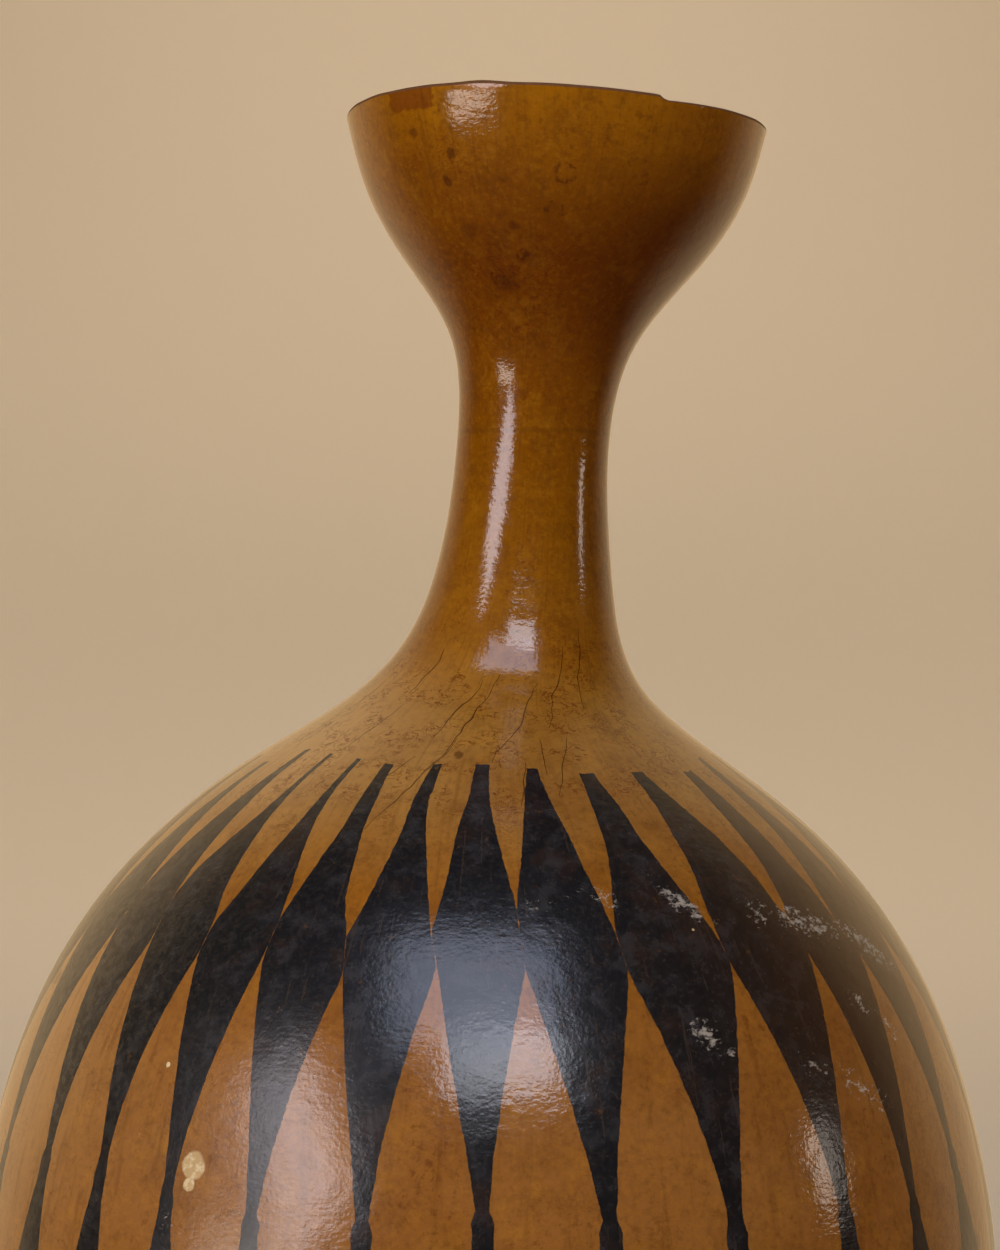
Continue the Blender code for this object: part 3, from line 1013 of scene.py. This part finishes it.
# %% Scraped inside
pith, tree, shader = new_material("scraped_gourd_pith")
point = add_node(tree, "TexCoord", output="Object")
level_z = add_node(tree, "SeparateXYZ", [point], "Z")
upward = add_node(tree, "MapRange", [level_z, 0.03, 0.36])
pith_colour = {0: upward, 6: linear("#4b3015"), 7: linear("#8d6a3c")}
pith_colour = add_node(tree, "Mix", pith_colour, **COLOUR_MIX)
tufts = {"Vector": point, "Scale": per_mm(6.0), "Detail": 5.0, "Roughness": 0.7}
tufts = add_node(tree, "TexNoise", tufts)
tufts = add_node(tree, "MapRange", [tufts, 0.3, 0.7, 0.2, 0.7])
pith_colour = add_node(tree, "Mix", {0: tufts, 6: pith_colour, 7: linear("#5a3d1c")}, **COLOUR_MIX)
threads = {"Vector": point, "Scale": per_mm(2.2), "Detail": 5.0, "Roughness": 0.7}
threads = add_node(tree, "TexNoise", threads)
pale = add_node(tree, "MapRange", [threads, 0.55, 0.7])
pith_colour = add_node(tree, "Mix", {0: pale, 6: pith_colour, 7: linear("#a98a58")}, **COLOUR_MIX)
tree.links.new(pith_colour, shader.inputs["Base Color"])
shader.inputs["Roughness"].default_value = 0.85
fuzz = add_node(tree, "Bump", {"Strength": 0.8, "Distance": 0.0006, "Height": threads})
tree.links.new(fuzz, shader.inputs["Normal"])
print("inside has", len(tree.nodes), "nodes")

# %% Materials on the faces
for material in (skin, cut, pith):
    rind_mesh.materials.append(material)
corner_cut = (height > CUT_HEIGHT - CUT_EDGE_WEAR - 0.05)[corner_vertex]
corner_inside = is_inside[corner_vertex]
all_cut = np.minimum.reduceat(corner_cut, face_start)
some_inside = np.maximum.reduceat(corner_inside, face_start)
slots = np.where(all_cut, 1, np.where(some_inside, 2, 0))
rind_mesh.polygons.foreach_set("material_index", slots.astype(np.int32))
print("faces of skin, cut and pith", np.bincount(slots))

# %% [markdown]
# ## Into the frame
# The mesh stands for the plain solid, which stays underneath for the physics. It rides on the one body.

# %% The rind's object
rind = bpy.data.objects.new("gourd_rind", rind_mesh)
bpy.context.scene.collection.objects.link(rind)
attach(rind, "root")
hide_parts("gourd_shell")
print("rind placed")

# %% [markdown]
# ## Backdrop
# The gourd stands in a wide, warm beige bowl of paper whose floor curves up with no edge, so there is
# paper behind it from every side. Reflections don't show it: the photographed gloss mirrors a dark room,
# with pale paper only near the outline, so what it mirrors is given with the lights, as a glow behind it.

# %% Backdrop
# Radius and height in metres, from the floor's middle to the top of the wall.
SWEEP = ((0.0, 0.0), (1.0, 0.0), (1.8, 0.1), (2.6, 0.5), (3.1, 1.3), (3.3, 2.4), (3.35, 3.6))
SWEEP_RINGS = 60
SWEEP_STEPS = 180
paper, tree, shader = new_material("beige_backdrop_paper")
shader.inputs["Base Color"].default_value = linear("#e5d5bc")
shader.inputs["Roughness"].default_value = 0.9
shader.inputs["Specular IOR Level"].default_value = 0.0

sweep_at = np.linspace(0.0, len(SWEEP) - 1.0, SWEEP_RINGS)
sweep_knots = np.arange(len(SWEEP))
sweep_radius, sweep_height = (natural_spline(sweep_knots, part, sweep_at) for part in np.array(SWEEP).T)
sweep_bm = spun([(r, max(z, 0.0)) for r, z in zip(sweep_radius, sweep_height)], SWEEP_STEPS)
sweep_mesh = bpy.data.meshes.new("backdrop")
sweep_bm.to_mesh(sweep_mesh)
sweep_bm.free()
sweep_mesh.shade_smooth()
sweep_mesh.materials.append(paper)
backdrop = bpy.data.objects.new("backdrop", sweep_mesh)
backdrop.visible_glossy = False
bpy.context.scene.collection.objects.link(backdrop)
print("backdrop", len(sweep_mesh.polygons), "faces")

# %% [markdown]
# ## Lights
# Soft boxes are placed by the direction that they come from, as read from the highlights on the neck,
# the bowl and the body, and their brightness is the one that their mirror image shows. A wide ceiling
# panel fills in from above. The paper has its own lamps, aimed so that their light misses the gourd.


# %% Soft boxes
def area_light(name, width, tall, colour, energy, place, facing):
    """A soft, rectangular lamp that the camera doesn't see. It shines against the way that it faces."""
    data = bpy.data.lights.new(name, "AREA")
    data.shape = "RECTANGLE"
    data.size = width
    data.size_y = tall
    data.color = linear(colour)[:3]
    data.energy = energy
    light = bpy.data.objects.new(name, data)
    light.location = place
    light.rotation_euler = facing.to_euler()
    light.visible_camera = False
    bpy.context.scene.collection.objects.link(light)
    return light


def soft_box(name, mirror, azimuth, elevation, distance, width, tall, radiance, colour, roll=0.0):
    """An area light by the direction in which a place on the gourd mirrors it.

    Azimuth is from the camera's side, + to the right, and radiance is what that mirror image shows."""
    turn = math.radians(azimuth)
    lift = math.radians(elevation)
    away = Vector((math.sin(turn) * math.cos(lift), -math.cos(turn) * math.cos(lift), math.sin(lift)))
    facing = away.to_track_quat("Z", "Y") @ Quaternion((0.0, 0.0, 1.0), math.radians(roll))
    energy = radiance * math.pi * width * tall
    return area_light(name, width, tall, colour, energy, Vector(mirror) + away * distance, facing)


NECK_FRONT = (-0.02, -0.08, 0.21)
BODY_FRONT = (0.004, -0.105, 0.176)
BODY_RIGHT = (0.06, -0.07, 0.18)
BOWL_FRONT = (-0.003, -0.045, 0.379)
soft_box("left_front_box", NECK_FRONT, -45.0, 18.0, 1.0, 0.30, 0.53, 8.3, "#f6eef4", roll=42.0)
soft_box("left_low_card", BOWL_FRONT, -50.0, -12.0, 0.9, 0.37, 0.075, 8.8, "#fff2e4")
soft_box("high_strip", BODY_FRONT, 5.0, 40.0, 1.6, 0.72, 0.38, 7.6, "#eef2ff")
soft_box("overhead_box", BODY_FRONT, -5.0, 57.0, 1.7, 1.05, 0.75, 4.2, "#d8e2ff")
soft_box("right_strip", BODY_RIGHT, 82.0, 9.0, 2.6, 0.28, 0.38, 6.6, "#fff0e0")
ceiling = soft_box("ceiling_panel", (0.0, 0.0, 0.0), 0.0, 90.0, 3.5, 5.0, 5.0, 0.28, "#f8f2ea")
ceiling.visible_glossy = False
print("boxes", [light.name for light in bpy.data.lights])

# %% Lamps for the paper
# Rings of lamps: radius and height in metres, lean outward, spread in degrees, power in W.
WASH_RINGS = ((2.2, 3.3, 0.25, 80.0, 2.95), (1.35, 2.2, 0.0, 50.0, 0.42))
WASH_STEP = 60
WASH_SIZE = (1.4, 0.5)
WASH_COLOUR = "#fff5e6"
BACK_BOOST = 1.25  # share of its power that the lamp right behind the gourd gets on top
for ring_radius, ring_height, lean, spread, power in WASH_RINGS:
    for wash_angle in range(0, 360, WASH_STEP):
        turn = math.radians(wash_angle)
        outward = Vector((math.sin(turn), -math.cos(turn), 0.0))
        facing = (Vector((0.0, 0.0, 1.0)) - outward * lean).to_track_quat("Z", "Y")
        place = outward * ring_radius + Vector((0.0, 0.0, ring_height))
        behind = 0.5 - 0.5 * math.cos(turn)
        energy = power * (1.0 + BACK_BOOST * behind)
        wash = area_light("paper_wash", *WASH_SIZE, WASH_COLOUR, energy, place, facing)
        wash.data.spread = math.radians(spread)
        wash.visible_glossy = False
print("lamps for the paper", sum(light.name.startswith("paper_wash") for light in bpy.data.lights))

# %% The mirrored room
# The room is dark but for a beige glow behind the gourd, which its gloss mirrors along the outline. Only
# mirrored rays see the glow, so it doesn't light the paper from over its edge.
world = bpy.data.worlds.new("room")
world.use_nodes = True
tree = world.node_tree
direction = add_node(tree, "TexCoord", output="Generated")
behind = add_node(tree, "SeparateXYZ", [direction], "Y")
glow = add_node(tree, "MapRange", [behind, 0.15, 0.75, 0.03, 0.84], **SMOOTH)
mirrored = add_node(tree, "LightPath", output="Is Glossy Ray")
glow = add_node(tree, "Math", [glow, mirrored], operation="MULTIPLY")
tree.links.new(glow, tree.nodes["Background"].inputs["Strength"])
tree.nodes["Background"].inputs["Color"].default_value = linear("#edc896")
bpy.context.scene.world = world
bpy.context.scene.view_settings.view_transform = "Standard"
print("world", bpy.context.scene.world.name)
